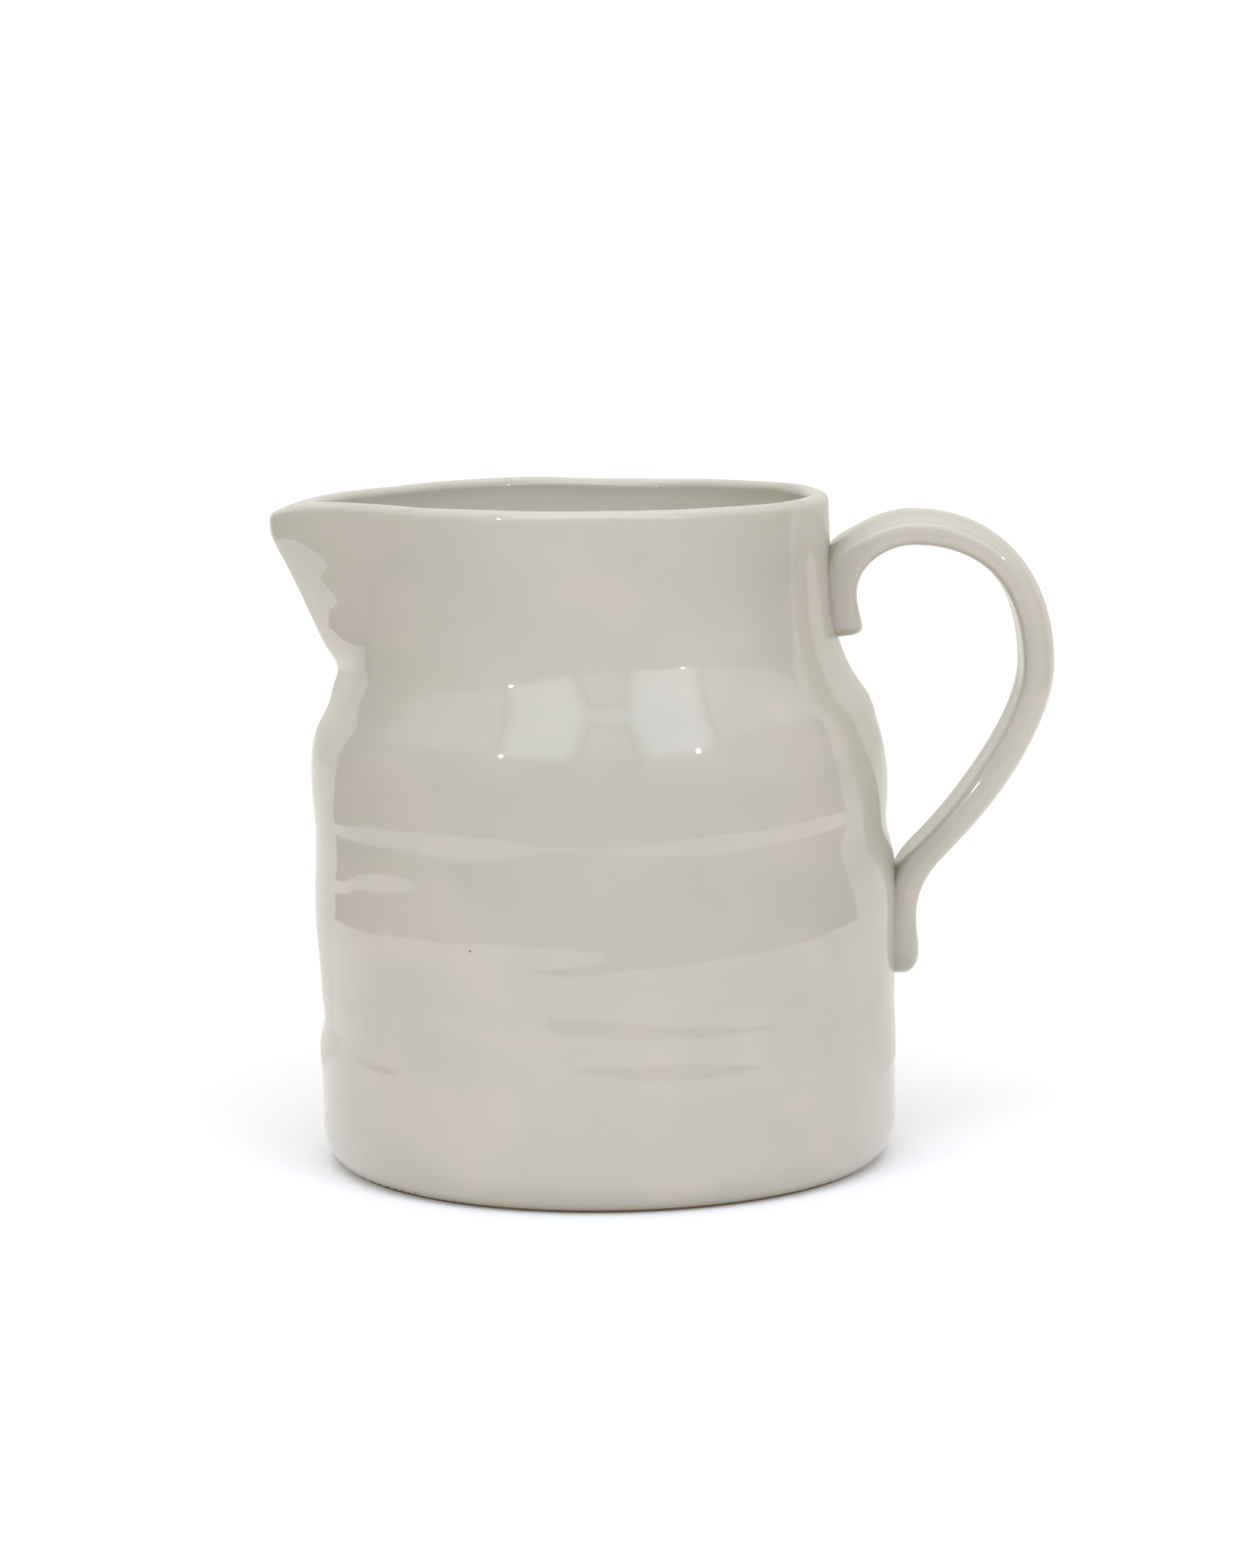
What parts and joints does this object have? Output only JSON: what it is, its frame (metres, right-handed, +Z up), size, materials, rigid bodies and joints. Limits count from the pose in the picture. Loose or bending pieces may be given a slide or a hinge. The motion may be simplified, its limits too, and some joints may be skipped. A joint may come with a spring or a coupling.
{
  "type": "ceramic pitcher",
  "caption": "Wide-mouthed stoneware pitcher with a folded pouring spout, a pulled strap handle and a flat foot ring, for serving drinks or holding cut flowers.",
  "frame": {"origin": "middle of the pitcher's box in plan, at the height that the foot ring stands on", "axes": "+Z up, -X the way it pours, +X towards the handle, +Y completing a right-handed set; the pot's axis is at x = -0.0159"},
  "size_m": [0.21, 0.156, 0.18],
  "materials": {
    "greige_glaze": "glossy greige glaze",
    "glazed_slip": "glossy glaze pooled over slip, a little darker",
    "bare_stoneware": "matt unglazed stoneware"
  },
  "bodies": {
    "root": {"vessel_body": "greige_glaze", "pouring_spout": "greige_glaze", "spout_slip_seam": "glazed_slip", "handle_strap": "greige_glaze", "upper_handle_slip_joint": "glazed_slip", "lower_handle_slip_joint": "glazed_slip", "foot_ring": "bare_stoneware", "foot_ring_slip_joint": "glazed_slip"}
  },
  "joints": []
}
